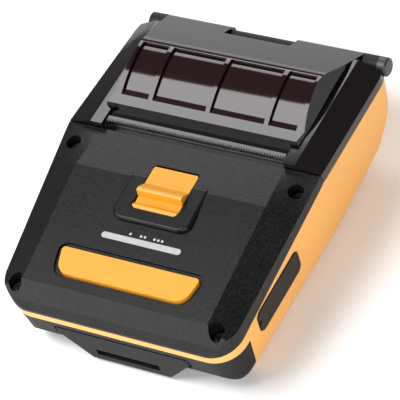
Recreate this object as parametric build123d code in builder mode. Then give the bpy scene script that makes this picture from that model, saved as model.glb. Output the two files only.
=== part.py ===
"""Portable label printer: a hand-held printer with a hinged, see-through paper cover.

Frame: X to the right, Y to the rear hinge, Z up, millimetres. The origin lies on the table,
under the middle of the case. The paper leaves through the gap between cover and top case.
"""
from build123d import *
import os
from math import asin, atan, atan2, cos, degrees, pi, radians, sin, tan

os.makedirs("parts", exist_ok=True)

# Whole body, seen from above: widest at the joint between top case and cover
body_length = 150.0
joint_width = 118.4
front_taper = 11.4
rear_taper = 2.0
joint_y = 7.0
front_corner = 13.0
rear_corner = 13.5
joint_blend = 120.0
front_width = joint_width - front_taper
rear_width = joint_width - rear_taper
front_end = -body_length / 2
rear_end = body_length / 2

# Whole body, seen from the side; the lower sides lean in by side_draft for each millimetre down
foot_height = 1.0
side_draft = 0.115
side_round = 8.0
front_round = 18.0
rear_round = 46.0
parting_front_z = 25.9
parting_joint_z = 39.4
parting_rear_z = 33.3

# Shells and running clearances
shell_wall = 2.0
case_wall = 2.1
floor_wall = 2.2
snug = 0.1
running = 0.4

# Upper side walls above the parting line, at the front end, the joint and the rear end
wall_front_height = 6.9
wall_joint_height = 4.5
wall_rear_height = 4.0

# Top case: sloping main face, level platform behind its crease, tongue round the latch
face_setback = 7.6
face_rise = 12.2
face_front_margin = 11.0
platform_length = 20.4
platform_rise = 4.8
platform_slope = 0.048
crease_margin = 13.3
platform_rear_margin = 16.1
tongue_half = 18.1
tongue_front_gap = 7.3
tongue_rise = 0.3
tongue_slope = 0.02
tongue_corner = 5.0
tongue_round = 1.2
lip_height = 4.8
lip_setback = 2.2
face_front_y = front_end + face_setback
face_front_z = parting_front_z + face_rise
crease_y = joint_y - platform_length

# Cover: flat lip, raised brow behind the paper trough, ribbed dome, rear panel down to the hinge
lip_rise = 7.7
flange_slope = 0.06
flange_margin = 11.2
cover_wall = 1.8
trough_length = 10.2
trough_depth = 1.7
brow_front_rise = 2.4
brow_rear_rise = 1.3
dome_setback = 16.0
dome_bulge = 1.5
dome_margin = 2.4
dome_taper = 3.2
crest_rise = 6.5
crest_round = 14.0
panel_length = 23.5
rib_pitch = 27.3
rib_width = 2.0
rib_count = 3
bay_depth = 1.3
bay_margin = 1.2
trough_margin = 3.0
hinge_rise = 2.9
barrel_radius = 4.0
barrel_margin = 12.2
flank_gap = 4.5
notch_half = 15.6
hinge_pin_radius = 1.5
cap_radius = 4.0
cap_length = 4.0
lip_front_z = parting_joint_z + lip_rise
flange_half = joint_width / 2 - flange_margin
trough_rear_y = joint_y + trough_length
dome_base_y = joint_y + dome_setback
hinge_y = rear_end - barrel_radius
hinge_z = parting_rear_z + hinge_rise
crest_y = hinge_y - panel_length
crest_z = lip_front_z + crest_rise
dome_base_half = flange_half - dome_margin
dome_top_half = dome_base_half - dome_taper
bay_half = dome_top_half - bay_margin
trough_half = dome_base_half - trough_margin
barrel_half = joint_width / 2 - barrel_margin
cover_flank_rear_y = hinge_y - flank_gap

# The rear panel runs from the crest, tangent to the hinge barrel
crest_reach = ((hinge_y - crest_y) ** 2 + (crest_z - hinge_z) ** 2) ** 0.5
panel_slope = tan(atan2(crest_z - hinge_z, hinge_y - crest_y) - asin(barrel_radius / crest_reach))

# Print mechanism, hung under the cover's lip and in the lower case below it
platen_setback = 7.5
platen_drop = 12.9
platen_radius = 6.0
platen_margin = 2.1
platen_shaft_radius = 2.5
bush_radius = 4.5
arm_thickness = 2.0
frame_plate = 1.2
gear_module = 0.6
pinion_teeth = 12
idler_teeth = 30
platen_teeth = 24
gear_width = 2.2
motor_radius = 9.6
motor_length = 18.0
platen_y = joint_y + platen_setback
platen_z = lip_front_z - platen_drop
platen_half = trough_half - platen_margin

# Battery pack
battery_top_half = 31.4
battery_foot_half = 18.4
battery_flank_z = 14.5
battery_top_z = 18.2
battery_setback = 0.6
battery_length = 56.8
bay_wall = 1.6
battery_front_y = front_end + battery_setback
battery_rear_y = battery_front_y + battery_length


def parting(y, lift=0.0):
    """Height of the line between upper and lower shells: rising to the joint, then falling."""
    if y < joint_y:
        share = (y - front_end) / (joint_y - front_end)
        return lift + parting_front_z + share * (parting_joint_z - parting_front_z)
    share = (y - joint_y) / (rear_end - joint_y)
    return lift + parting_joint_z + share * (parting_rear_z - parting_joint_z)


def wall_top(y):
    """Height of the upper side walls' top edge, over the parting line."""
    if y < joint_y:
        share = (y - front_end) / (joint_y - front_end)
        return parting(y, wall_front_height + share * (wall_joint_height - wall_front_height))
    share = (y - joint_y) / (rear_end - joint_y)
    return parting(y, wall_joint_height + share * (wall_rear_height - wall_joint_height))


def half_width(y, inset=0.0):
    """Half of the body's width at y, measured from straight edges between the three widths."""
    if y < joint_y:
        share = (y - front_end) / (joint_y - front_end)
        return (front_width + share * (joint_width - front_width)) / 2 - inset
    share = (y - joint_y) / (rear_end - joint_y)
    return (joint_width + share * (rear_width - joint_width)) / 2 - inset


def platform_z(y):
    """Height of the raised platform, which rises gently towards the front."""
    return parting_joint_z + platform_rise + platform_slope * (joint_y - y)


def tongue_z(y):
    """Height of the platform's tongue round the latch."""
    return platform_z(crease_y) + tongue_rise + tongue_slope * (y - crease_y)


def face_z(y):
    """Height of the sloping main face in front of the platform."""
    share = (y - face_front_y) / (crease_y - face_front_y)
    return face_front_z + share * (platform_z(crease_y) - face_front_z)


def flange_z(y):
    """Height of the cover's flat lip and of the flanges beside its dome."""
    return lip_front_z - flange_slope * (y - joint_y)


def panel_z(y):
    """Height of the cover's rear panel, which falls from the crest to the hinge."""
    return crest_z - panel_slope * (y - crest_y)


def plan(inset, depth=0.0):
    """The body's outline from above, drawn in by inset, at a depth below the front parting line."""
    lean = side_draft * depth
    joint_lean = lean + side_draft * (parting_joint_z - parting_front_z)
    rear_lean = lean + side_draft * (parting_rear_z - parting_front_z)
    if not depth:
        joint_lean = 0
        rear_lean = 0
    front_half = half_width(front_end, inset) - lean
    joint_half = half_width(joint_y, inset) - joint_lean
    rear_half = half_width(rear_end, inset) - rear_lean
    with BuildSketch() as outline:
        with BuildLine():
            Polyline(
                (-front_half, front_end + inset + lean),
                (front_half, front_end + inset + lean),
                (joint_half, joint_y),
                (rear_half, rear_end - inset - rear_lean),
                (-rear_half, rear_end - inset - rear_lean),
                (-joint_half, joint_y),
                close=True,
            )
        make_face()
        fillet(outline.vertices().filter_by(lambda v: abs(v.Y - joint_y) < 1), joint_blend)
        fillet(outline.vertices().group_by(Axis.Y)[0], front_corner - inset - lean)
        fillet(outline.vertices().group_by(Axis.Y)[-1], rear_corner - inset - rear_lean)
    return outline.sketch


def across(points, half):
    """A prism across the body: the outline in Y and Z, extruded by half to each side."""
    with BuildPart() as body:
        with BuildSketch(Plane.YZ):
            with BuildLine():
                Polyline(*points, close=True)
            make_face()
        extrude(amount=half, both=True)
    return body.part


def between(points, start, end):
    """A prism across the body from one X to another, with its outline in Y and Z."""
    with BuildPart() as body:
        with BuildSketch(Plane.YZ.offset(start)):
            with BuildLine():
                Polyline(*points, close=True)
            make_face()
        extrude(amount=end - start)
    return body.part


def along(points, start, end):
    """A prism along the body from one Y to another, with its outline in X and Z."""
    with BuildPart() as body:
        with BuildSketch(Plane.XZ.offset(-start)):
            with BuildLine():
                Polyline(*points, close=True)
            make_face()
        extrude(amount=-(end - start))
    return body.part


def stations(sections):
    """A solid that runs straight from one X-Z outline to the next along Y."""
    with BuildPart() as body:
        for y, points in sections:
            with BuildSketch(Plane.XZ.offset(-y)):
                with BuildLine():
                    Polyline(*points, close=True)
                make_face()
        loft(ruled=True)
    return body.part


def block(low, high):
    """A plain box between two corners."""
    with BuildPart() as body:
        with BuildSketch(Plane.XY.offset(low[2])):
            with BuildLine():
                Polyline(
                    (low[0], low[1]),
                    (high[0], low[1]),
                    (high[0], high[1]),
                    (low[0], high[1]),
                    close=True,
                )
            make_face()
        extrude(amount=high[2] - low[2])
    return body.part


def rod(radius, start, end, y, z):
    """A round bar across the body between two X."""
    with BuildPart() as body:
        with BuildSketch(Plane.YZ.offset(start)):
            with Locations((y, z)):
                Circle(radius)
        extrude(amount=end - start)
    return body.part


def upright(radius, x, y, low, high):
    """A round post between two heights."""
    with BuildPart() as body:
        with BuildSketch(Plane.XY.offset(low)):
            with Locations((x, y)):
                Circle(radius)
        extrude(amount=high - low)
    return body.part


def column(sketch, low, high):
    """An upright prism over a sketch."""
    with BuildPart() as body:
        with BuildSketch(Plane.XY.offset(low)):
            add(sketch)
        extrude(amount=high - low)
    return body.part


def slot_sketch(half, width, y):
    """A bar with round ends."""
    with BuildSketch() as outline:
        with Locations((0, y)):
            SlotOverall(2 * half, width)
    return outline.sketch


def pocket_sketch(half, rear_y, front_y, corner):
    """A rounded rectangle between two Y."""
    with BuildSketch() as outline:
        with Locations((0, (rear_y + front_y) / 2)):
            RectangleRounded(2 * half, rear_y - front_y, corner)
    return outline.sketch


def below_parting(lift):
    """Everything lower than the parting line raised by lift."""
    front_rise = (parting_joint_z - parting_front_z) / (joint_y - front_end)
    rear_fall = (parting_joint_z - parting_rear_z) / (rear_end - joint_y)
    margin = shell_wall
    return across(
        [
            (front_end - margin, -body_length),
            (front_end - margin, parting_front_z + lift - margin * front_rise),
            (joint_y, parting_joint_z + lift),
            (rear_end + margin, parting_rear_z + lift - margin * rear_fall),
            (rear_end + margin, -body_length),
        ],
        joint_width,
    )


def tub(inset, floor_z):
    """The lower body drawn in by inset: leaning sides, rounded bottom, front and rear edges."""
    top = foot_height + rear_round + shell_wall
    front_centre_z = foot_height + front_round
    rear_centre_z = foot_height + rear_round
    with BuildPart() as profile:
        with BuildSketch(Plane.YZ):
            with BuildLine():
                front_arc = EllipticalCenterArc(
                    (front_end + front_round, front_centre_z),
                    front_round - inset,
                    front_centre_z - floor_z,
                    start_angle=180,
                    arc_size=90,
                )
                rear_arc = EllipticalCenterArc(
                    (rear_end - rear_round, rear_centre_z),
                    rear_round - inset,
                    rear_centre_z - floor_z,
                    start_angle=270,
                    arc_size=90,
                )
                Line(front_arc @ 1, rear_arc @ 0)
                Polyline(
                    rear_arc @ 1,
                    (rear_end - inset, top + shell_wall),
                    (front_end + inset, top + shell_wall),
                    front_arc @ 0,
                )
            make_face()
        extrude(amount=joint_width, both=True)
    with BuildPart() as body:
        with BuildSketch(Plane.XY.offset(floor_z)):
            add(plan(inset, parting_front_z - floor_z))
        extrude(amount=top - floor_z, taper=-degrees(atan(side_draft)))
        fillet(body.faces().sort_by(Axis.Z)[0].edges(), side_round - inset)
        add(profile.part, mode=Mode.INTERSECT)
        add(column(plan(inset), -foot_height, 2 * top), mode=Mode.INTERSECT)
    return body.part


def save(piece, name):
    """Labels a finished piece and writes it under the same name."""
    piece.part.label = name
    export_step(piece.part, f"parts/{name}.step")


# Bulk volumes that the shells share
outer_tub = tub(0, foot_height)
shell_inner_tub = tub(shell_wall, foot_height + shell_wall)
case_outer_tub = tub(shell_wall + snug, foot_height + shell_wall + snug)
cavity_tub = tub(shell_wall + snug + case_wall, foot_height + floor_wall)
up_to_parting = below_parting(0)
up_to_rim = below_parting(-snug)

# Posts for the control board, feet and central hinge knuckle
board_z = battery_top_z + 3.0
board_post_x = battery_top_half - 4.4
board_front_y = front_end + 12.0
board_rear_y = joint_y - 27.0
board_post_rear_y = board_rear_y - 5.0
board_post_front_y = board_front_y + 5.0
board_post_radius = 2.5
bucket_floor_z = 6.2
bucket_front_y = joint_y + 14.0
bucket_slope_y = hinge_y - 28.5
bucket_post_x = 36.0
bucket_post_front_y = bucket_front_y + 5.0
bucket_post_rear_y = bucket_slope_y - 5.0
foot_front_y = front_end + 29.0
foot_rear_y = rear_end - 52.5
foot_radius = 5.0
foot_x = half_width(foot_front_y) - 19.5
knuckle_radius = 2.9
knuckle_half = notch_half - running
contact_radius = 0.8
contact_pitch = 5.0
contact_z = 12.0

# Areas where the dark lower case shows outside the coloured side shell
nose_length = 15.0
nose_drop = 4.2
nose_rear_y = front_end + nose_length
nose_top_z = parting_front_z - nose_drop
window_half = half_width(front_end) - 11.5
window_rear_y = rear_end - 35.0
window_top_z = side_round / 2
nose_zone = block(
    (-joint_width, -body_length, -body_length),
    (joint_width, nose_rear_y, nose_top_z),
)
window_zone = block(
    (-window_half, -body_length, -body_length),
    (window_half, window_rear_y, window_top_z),
)
nose_body = block(
    (-joint_width, -body_length, -body_length),
    (joint_width, nose_rear_y - snug, nose_top_z - snug),
)
window_body = block(
    (-window_half + snug, -body_length, -body_length),
    (window_half - snug, window_rear_y - snug, window_top_z),
)

# Room for the cover's hinge barrel, and the ears outside it, level with the rounded rear corners
barrel_room = rod(
    barrel_radius + running + snug,
    -barrel_half - running,
    barrel_half + running,
    hinge_y,
    hinge_z,
)
corner_reach = rear_corner - barrel_radius
ear_outer = half_width(hinge_y) - rear_corner + (rear_corner**2 - corner_reach**2) ** 0.5
ear_inner = barrel_half + running
ears = rod(cap_radius, ear_inner, ear_outer, hinge_y, hinge_z)
ears = ears + rod(cap_radius, -ear_outer, -ear_inner, hinge_y, hinge_z)
ear_room = rod(cap_radius + snug, ear_inner, joint_width, hinge_y, hinge_z)
ear_room = ear_room + rod(cap_radius + snug, -ear_outer - snug, -ear_inner, hinge_y, hinge_z)

# Battery outlines: the pack, the channel that it slides in, and that channel's wall


def battery_outline(grow):
    """The pack's cross-section: sloping flanks below, straight sides above, grown all round."""
    return [
        (-battery_foot_half - grow, foot_height - grow),
        (battery_foot_half + grow, foot_height - grow),
        (battery_top_half + grow, battery_flank_z - grow),
        (battery_top_half + grow, battery_top_z + grow),
        (-battery_top_half - grow, battery_top_z + grow),
        (-battery_top_half - grow, battery_flank_z - grow),
    ]


channel = along(battery_outline(running), -body_length, battery_rear_y + running)
channel_shell = along(
    battery_outline(running + bay_wall),
    battery_front_y + running,
    battery_rear_y + running + bay_wall,
)

# Spring pins in the channel's top wall that snap into dimples of the pack
detent_x = battery_top_half - 5.4
detent_y = battery_rear_y - 6.4
detent_radius = 1.2

# Screw places on the side facets of the top case
rear_screw_x = half_width(joint_y) - 7.0
rear_screw_y = joint_y - 9.3
rear_screw_seat_z = parting(rear_screw_y, -0.5)
front_screw_x = half_width(front_end) - 6.7
front_screw_y = front_end + 7.0
front_screw_seat_z = parting(front_screw_y, 2.5)
screw_places = [
    (-rear_screw_x, rear_screw_y, rear_screw_seat_z),
    (rear_screw_x, rear_screw_y, rear_screw_seat_z),
    (-front_screw_x, front_screw_y, front_screw_seat_z),
    (front_screw_x, front_screw_y, front_screw_seat_z),
]
counterbore_radius = 3.3
screw_head_radius = 2.8
screw_head_height = 1.8
screw_radius = 1.3
screw_boss_radius = 4.0
screw_post_radius = 3.0
screw_length = 9.0
cross_length = 3.2
cross_width = 0.7
cross_depth = 1.0

# Opening for the connectors on the right side, under the rubber cover
port_centre_y = front_end + 39.0
port_centre_z = 22.8
port_tilt = 2.0
cover_length = 33.0
cover_height = 12.6
flap_corner = 3.0
flap_overlap = 3.0
flap_seat_depth = 1.3
flap_proud = 0.5


def port_plate(length, height, corner):
    """A rounded, slightly tilted prism through the right wall."""
    with BuildPart() as body:
        with BuildSketch(Plane.YZ.offset(joint_width / 4)):
            with Locations(Location((port_centre_y, port_centre_z), port_tilt)):
                RectangleRounded(length, height, corner)
        extrude(amount=joint_width / 2)
    return body.part


# Coloured side shell: a band round the whole body, full height at the sides and rear
flap_recess = tub(flap_seat_depth, foot_height + flap_seat_depth)
port_hole = port_plate(cover_length - 2 * flap_overlap, cover_height - flap_overlap, flap_corner)
with BuildPart() as side_shell:
    add(outer_tub)
    add(shell_inner_tub, mode=Mode.SUBTRACT)
    add(up_to_parting, mode=Mode.INTERSECT)
    add(nose_zone, mode=Mode.SUBTRACT)
    add(window_zone, mode=Mode.SUBTRACT)
    add(barrel_room, mode=Mode.SUBTRACT)
    add(ear_room, mode=Mode.SUBTRACT)
    flap_room = port_plate(cover_length + 2 * running, cover_height + 2 * running, flap_corner + running)
    add(flap_room - flap_recess, mode=Mode.SUBTRACT)
    add(port_hole, mode=Mode.SUBTRACT)
save(side_shell, "side_shell")

# Lower case: floor, walls, battery channel, screw bosses and hinge ears
with BuildPart() as lower_case:
    add(case_outer_tub)
    nose_piece = outer_tub & nose_body
    window_piece = outer_tub & window_body
    add(nose_piece)
    add(window_piece)
    add(cavity_tub, mode=Mode.SUBTRACT)
    boss_body = channel_shell
    for x, y, seat_z in screw_places:
        boss_body = boss_body + upright(screw_post_radius, x, y, foot_height, seat_z - shell_wall - snug)
    for side in (-1, 1):
        low_x = min(side * ear_inner, side * ear_outer)
        boss_body = boss_body + block(
            (low_x, hinge_y - cap_radius, foot_height + floor_wall),
            (low_x + ear_outer - ear_inner, hinge_y, hinge_z),
        )
    inside = outer_tub & case_outer_tub
    add(boss_body & (inside + nose_piece + window_piece))
    add(up_to_rim, mode=Mode.INTERSECT)
    add(ears)
    add(channel, mode=Mode.SUBTRACT)
    add(barrel_room, mode=Mode.SUBTRACT)
    for x, y, seat_z in screw_places:
        add(upright(screw_radius, x, y, seat_z - screw_length, body_length), mode=Mode.SUBTRACT)
        add(upright(screw_head_radius + running, x, y, seat_z - snug, body_length), mode=Mode.SUBTRACT)
    knuckle_web = block(
        (-knuckle_half, hinge_y - knuckle_radius, foot_height + floor_wall),
        (knuckle_half, hinge_y, hinge_z),
    )
    knuckle = rod(knuckle_radius, -knuckle_half, knuckle_half, hinge_y, hinge_z)
    add((knuckle_web & inside) + knuckle)
    add(
        rod(hinge_pin_radius, -ear_outer - shell_wall, ear_outer + shell_wall, hinge_y, hinge_z),
        mode=Mode.SUBTRACT,
    )
    add(port_hole, mode=Mode.SUBTRACT)
    for x in (-board_post_x, board_post_x):
        for y in (board_post_rear_y, board_post_front_y):
            add(upright(board_post_radius, x, y, battery_top_z + running, board_z))
    for x in (-foot_x, foot_x):
        for y in (foot_front_y, foot_rear_y):
            add(upright(foot_radius + snug, x, y, 0, 2 * foot_height), mode=Mode.SUBTRACT)
    for number in range(4):
        x = (number - 1.5) * contact_pitch
        with BuildSketch(Plane.XZ.offset(-battery_rear_y)):
            with Locations((x, contact_z)):
                Circle(contact_radius + 2 * snug)
        extrude(amount=-2 * bay_wall, mode=Mode.SUBTRACT)
    for x in (-detent_x, detent_x):
        add(upright(detent_radius, x, detent_y, battery_top_z, board_z), mode=Mode.SUBTRACT)
    for x in (-bucket_post_x, bucket_post_x):
        for y in (bucket_post_front_y, bucket_post_rear_y):
            add(upright(board_post_radius, x, y, foot_height + floor_wall, bucket_floor_z))
save(lower_case, "lower_case")

# Top case: walls on the parting line, side facets, main face, platform and tongue
case_rear_y = joint_y - running / 2
face_front_half = half_width(face_front_y) - face_front_margin
crease_half = half_width(crease_y) - crease_margin
platform_rear_half = half_width(joint_y) - platform_rear_margin
facet_inset = 0.7


def shoulder_half(y):
    """Half of the main face's width, which narrows towards the front."""
    share = (y - face_front_y) / (crease_y - face_front_y)
    return face_front_half + share * (crease_half - face_front_half)


def top_outline(y, half, crown, inset, sink):
    """The top case's cross-section: side walls, facets and flat crown, drawn in by inset."""
    side = half_width(y, inset)
    edge_z = wall_top(y) - inset / 2
    return [
        (-side, parting(y) - sink),
        (side, parting(y) - sink),
        (side, edge_z),
        (half - inset * facet_inset, crown - inset),
        (-half + inset * facet_inset, crown - inset),
        (-side, edge_z),
    ]


def top_bulk(inset, sink):
    """The top case's full shape without its hollow, from the front end to the joint."""
    return stations(
        [
            (front_end, top_outline(front_end, shoulder_half(front_end), face_z(front_end), inset, sink)),
            (crease_y, top_outline(crease_y, crease_half, platform_z(crease_y), inset, sink)),
            (case_rear_y, top_outline(case_rear_y, platform_rear_half, platform_z(case_rear_y), inset, sink)),
        ]
    )


def front_cut(inset):
    """What lies in front of the top case's bevelled front face."""
    lip_top_z = parting_front_z + lip_height
    return across(
        [
            (front_end - joint_width, parting_front_z + lip_height / 4),
            (front_end + inset, parting_front_z + lip_height / 4),
            (front_end + lip_setback + inset, lip_top_z),
            (face_front_y + inset, face_front_z),
            (face_front_y + inset, body_length),
            (front_end - joint_width, body_length),
        ],
        joint_width,
    )


# Feed button: a wide bar with large front corners in a bevelled recess
button_setback = 24.9
button_rear_half = 32.2
button_front_half = 29.4
button_depth = 11.6
button_front_corner = 6.0
button_rear_corner = 1.5
button_gap = 0.35
button_rim = 2.2
button_rim_depth = 1.0
button_proud = 0.7
button_plate = 2.8
button_travel = 1.0
button_flange = 1.2
button_flange_gap = 0.5
button_rear_y = front_end + button_setback

# Light bar over the button
light_half = 18.4
light_width = 2.6
light_gap = 9.3
light_y = button_rear_y + light_gap

# The platform's tongue, which runs forward round the cover latch
tongue_front_y = light_y + tongue_front_gap
with BuildPart() as tongue:
    with BuildSketch(Plane.XY.offset(face_front_z - shell_wall)) as tongue_outline:
        with BuildLine():
            Polyline(
                (-tongue_half, tongue_front_y),
                (tongue_half, tongue_front_y),
                (tongue_half, crease_y + shell_wall),
                (-tongue_half, crease_y + shell_wall),
                close=True,
            )
        make_face()
        fillet(tongue_outline.vertices().group_by(Axis.Y)[0], tongue_corner)
    extrude(amount=body_length / 6)
    under_tongue = across(
        [
            (front_end, 0),
            (front_end, tongue_z(front_end)),
            (rear_end, tongue_z(rear_end)),
            (rear_end, 0),
        ],
        joint_width,
    )
    add(under_tongue, mode=Mode.INTERSECT)
    fillet(tongue.faces().sort_by(Axis.Z)[-1].edges(), tongue_round)

# Cover latch: where it lies in the platform
latch_half = 10.4
latch_setback = 13.0
latch_length = 21.5
latch_pivot_setback = 14.8
latch_pivot_depth = 2.9
latch_gap = 0.4
latch_rear_gap = 0.8
latch_corner = 2.0
latch_shaft_radius = 1.2
latch_boss = 2.2
latch_lug_gap = 0.4
latch_lug_length = 2.4
latch_rear_y = joint_y - latch_setback
latch_pivot_y = joint_y - latch_pivot_setback
latch_pivot_z = platform_z(latch_pivot_y) - latch_pivot_depth
latch_lug_inner = latch_half + latch_gap + latch_lug_gap
latch_lug_outer = latch_lug_inner + latch_lug_length


def button_sketch(grow):
    """The feed button's outline from above, grown all round."""
    with BuildSketch() as outline:
        with BuildLine():
            Polyline(
                (-button_rear_half - grow, button_rear_y + grow),
                (button_rear_half + grow, button_rear_y + grow),
                (button_front_half + grow, button_rear_y - button_depth - grow),
                (-button_front_half - grow, button_rear_y - button_depth - grow),
                close=True,
            )
        make_face()
        fillet(outline.vertices().group_by(Axis.Y)[0], button_front_corner + grow)
        fillet(outline.vertices().group_by(Axis.Y)[-1], button_rear_corner + grow)
    return outline.sketch


def face_slab(low, high, half):
    """The layer between two heights measured from the sloping main face."""
    rear_y = crease_y - 2 * latch_gap
    return across(
        [
            (face_front_y, face_z(face_front_y) + low),
            (rear_y, face_z(rear_y) + low),
            (rear_y, face_z(rear_y) + high),
            (face_front_y, face_z(face_front_y) + high),
        ],
        half,
    )


face_low = face_front_z - 4 * shell_wall
face_high = tongue_z(joint_y) + shell_wall
button_ring = column(button_sketch(button_rim), face_low, face_high)
button_hole = column(button_sketch(button_gap), face_low, face_high)
latch_pocket = column(
    pocket_sketch(
        latch_half + latch_gap,
        latch_rear_y + latch_rear_gap,
        latch_rear_y - latch_length - latch_gap,
        latch_corner,
    ),
    face_low,
    face_high,
)
light_slot = column(slot_sketch(light_half + snug, light_width + 2 * snug, light_y), face_low, face_high)
key_board_depth = 6.9
key_board_overlap = 2.3
plunger_x = 14.0
plunger_setback = 5.9
plunger_radius = 2.2
plunger_y = button_rear_y - plunger_setback
key_board_top_z = face_z(plunger_y) - key_board_depth
key_board_half = button_rear_half + 6.6
key_board_rear_y = light_y + key_board_overlap
key_board_front_y = button_rear_y - button_depth - key_board_overlap
key_post_radius = 2.2
key_post_x = key_board_half - key_post_radius
key_post_rear_y = key_board_rear_y - key_post_radius
key_post_front_y = key_board_front_y + key_post_radius
cavity_rim = below_parting(snug)
boss_room = tub(shell_wall + case_wall + 2 * snug, foot_height + floor_wall) & cavity_rim
top_outer = (top_bulk(0, 0) - front_cut(0)) & column(plan(0), 0, body_length)
top_hollow = top_bulk(shell_wall, shell_wall) - front_cut(shell_wall)
top_inner = top_hollow & column(plan(shell_wall), 0, body_length)
with BuildPart() as top_case:
    add(top_outer)
    add(tongue.part)
    add(top_inner, mode=Mode.SUBTRACT)
    for x in (-key_post_x, key_post_x):
        for y in (key_post_rear_y, key_post_front_y):
            add(upright(key_post_radius, x, y, key_board_top_z, face_z(y) - shell_wall / 2))
    for x, y, seat_z in screw_places:
        post = upright(screw_boss_radius, x, y, seat_z - shell_wall, face_high)
        add(post & (top_outer + boss_room))
    for x, y, seat_z in screw_places:
        add(upright(counterbore_radius, x, y, seat_z, face_high), mode=Mode.SUBTRACT)
        add(upright(screw_radius + 2 * snug, x, y, 0, face_high), mode=Mode.SUBTRACT)
    for side in (-1, 1):
        low_x = min(side * latch_lug_inner, side * latch_lug_outer)
        lug = block(
            (low_x, latch_pivot_y - latch_boss, latch_pivot_z - latch_boss),
            (low_x + latch_lug_length, latch_pivot_y + latch_boss, latch_pivot_z + latch_boss),
        )
        add(lug & top_outer)
    shaft_hole = rod(latch_shaft_radius, -latch_lug_outer, latch_lug_outer, latch_pivot_y, latch_pivot_z)
    add(shaft_hole, mode=Mode.SUBTRACT)
    add(button_ring & face_slab(-button_rim_depth, shell_wall, joint_width), mode=Mode.SUBTRACT)
    add(button_hole, mode=Mode.SUBTRACT)
    add(latch_pocket, mode=Mode.SUBTRACT)
    add(light_slot, mode=Mode.SUBTRACT)
save(top_case, "top_case")


# Feed button: plate with a retaining flange and two plungers, pressed straight down
switch_height = 1.8
switch_stem = 0.8
switch_size = 6.0
switch_gap = 0.3
switch_top_z = key_board_top_z + switch_height
flange_top = -shell_wall - button_flange_gap
with BuildPart() as feed_button:
    plate_layer = face_slab(-button_plate - button_travel, button_proud, joint_width)
    add(column(button_sketch(0), face_low, face_high) & plate_layer)
    flange_layer = face_slab(flange_top - button_flange, flange_top, joint_width)
    add(column(button_sketch(button_flange), face_low, face_high) & flange_layer)
    for x in (-plunger_x, plunger_x):
        stem_low_z = switch_top_z + button_travel + switch_gap
        add(upright(plunger_radius, x, plunger_y, stem_low_z, face_z(plunger_y) - button_plate))
save(feed_button, "feed_button")

# Light bar: a clear strip that stands on the key board and shows through the face
with BuildPart() as light_bar:
    bar_column = column(slot_sketch(light_half, light_width, light_y), key_board_top_z, face_high)
    add(bar_column & face_slab(-joint_width, snug, joint_width))
save(light_bar, "light_bar")

# Key board under the button, with its two push switches
board_thickness = 1.2
with BuildPart() as key_board:
    board_outline = pocket_sketch(key_board_half, key_board_rear_y, key_board_front_y, latch_corner)
    add(column(board_outline, key_board_top_z - board_thickness, key_board_top_z))
save(key_board, "key_board")
with BuildPart() as push_switches:
    for x in (-plunger_x, plunger_x):
        half = switch_size / 2
        add(
            block(
                (x - half, plunger_y - half, key_board_top_z),
                (x + half, plunger_y + half, switch_top_z - switch_stem),
            )
        )
        add(upright(plunger_radius - running, x, plunger_y, key_board_top_z, switch_top_z))
save(push_switches, "push_switches")

# Case screws: pan heads deep in the counterbores of the side facets
with BuildPart() as case_screws:
    for x, y, seat_z in screw_places:
        add(upright(screw_head_radius, x, y, seat_z, seat_z + screw_head_height))
        add(upright(screw_radius - snug / 2, x, y, seat_z - screw_length + snug, seat_z))
        with BuildSketch(Plane.XY.offset(seat_z + screw_head_height)):
            with Locations((x, y)):
                Rectangle(cross_length, cross_width)
                Rectangle(cross_width, cross_length)
        extrude(amount=-cross_depth, mode=Mode.SUBTRACT)
save(case_screws, "case_screws")

# Control board on four posts over the battery channel, with the two sockets at its right edge
board_setback = 15.2
board_half = joint_width / 2 - board_setback
board_top_z = board_z + board_thickness
with BuildPart() as control_board:
    add(column(pocket_sketch(board_half, board_rear_y, board_front_y, latch_corner), board_z, board_top_z))
    for x in (-board_post_x, board_post_x):
        for y in (board_post_rear_y, board_post_front_y):
            add(upright(screw_radius, x, y, board_z, board_top_z), mode=Mode.SUBTRACT)
save(control_board, "control_board")


def socket_reach(y):
    """How far out a socket on the board may reach: up to the leaning inner wall at its foot."""
    lean = side_draft * (parting(y) - board_top_z)
    return half_width(y) - lean - shell_wall - case_wall - running


usb_offset = 4.6
usb_width = 8.9
usb_height = 3.2
usb_length = 9.6
usb_wall = 0.4
usb_tongue = 0.7
usb_y = port_centre_y + usb_offset
usb_reach = socket_reach(usb_y - usb_width / 2)
usb_inner_x = usb_reach - usb_length
usb_back = 1.2
usb_tongue_z = board_top_z + (usb_height - usb_tongue) / 2
with BuildPart() as usb_socket:
    add(
        block(
            (usb_inner_x, usb_y - usb_width / 2, board_top_z),
            (usb_reach, usb_y + usb_width / 2, board_top_z + usb_height),
        )
    )
    add(
        block(
            (usb_inner_x + usb_back, usb_y - usb_width / 2 + usb_wall, board_top_z + usb_wall),
            (usb_reach + usb_wall, usb_y + usb_width / 2 - usb_wall, board_top_z + usb_height - usb_wall),
        ),
        mode=Mode.SUBTRACT,
    )
    add(
        block(
            (usb_inner_x, usb_y - usb_width / 4, usb_tongue_z),
            (usb_reach - usb_tongue, usb_y + usb_width / 4, usb_tongue_z + usb_tongue),
        )
    )
save(usb_socket, "usb_socket")
jack_offset = 9.0
jack_radius = 2.9
jack_bore = 1.6
jack_depth = 6.0
jack_length = 7.6
jack_height = 4.4
jack_pin_length = 5.4
jack_y = port_centre_y - jack_offset
jack_reach = socket_reach(jack_y - jack_radius)
jack_centre_z = board_top_z + jack_height / 2
with BuildPart() as power_jack:
    add(
        block(
            (jack_reach - jack_length, jack_y - jack_radius, board_top_z),
            (jack_reach, jack_y + jack_radius, board_top_z + jack_height),
        )
    )
    add(rod(jack_bore, jack_reach - jack_depth, jack_reach, jack_y, jack_centre_z), mode=Mode.SUBTRACT)
    pin_inner_x = jack_reach - jack_depth - snug
    add(rod(jack_bore / 4, pin_inner_x, pin_inner_x + jack_pin_length, jack_y, jack_centre_z))
save(power_jack, "power_jack")

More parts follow.
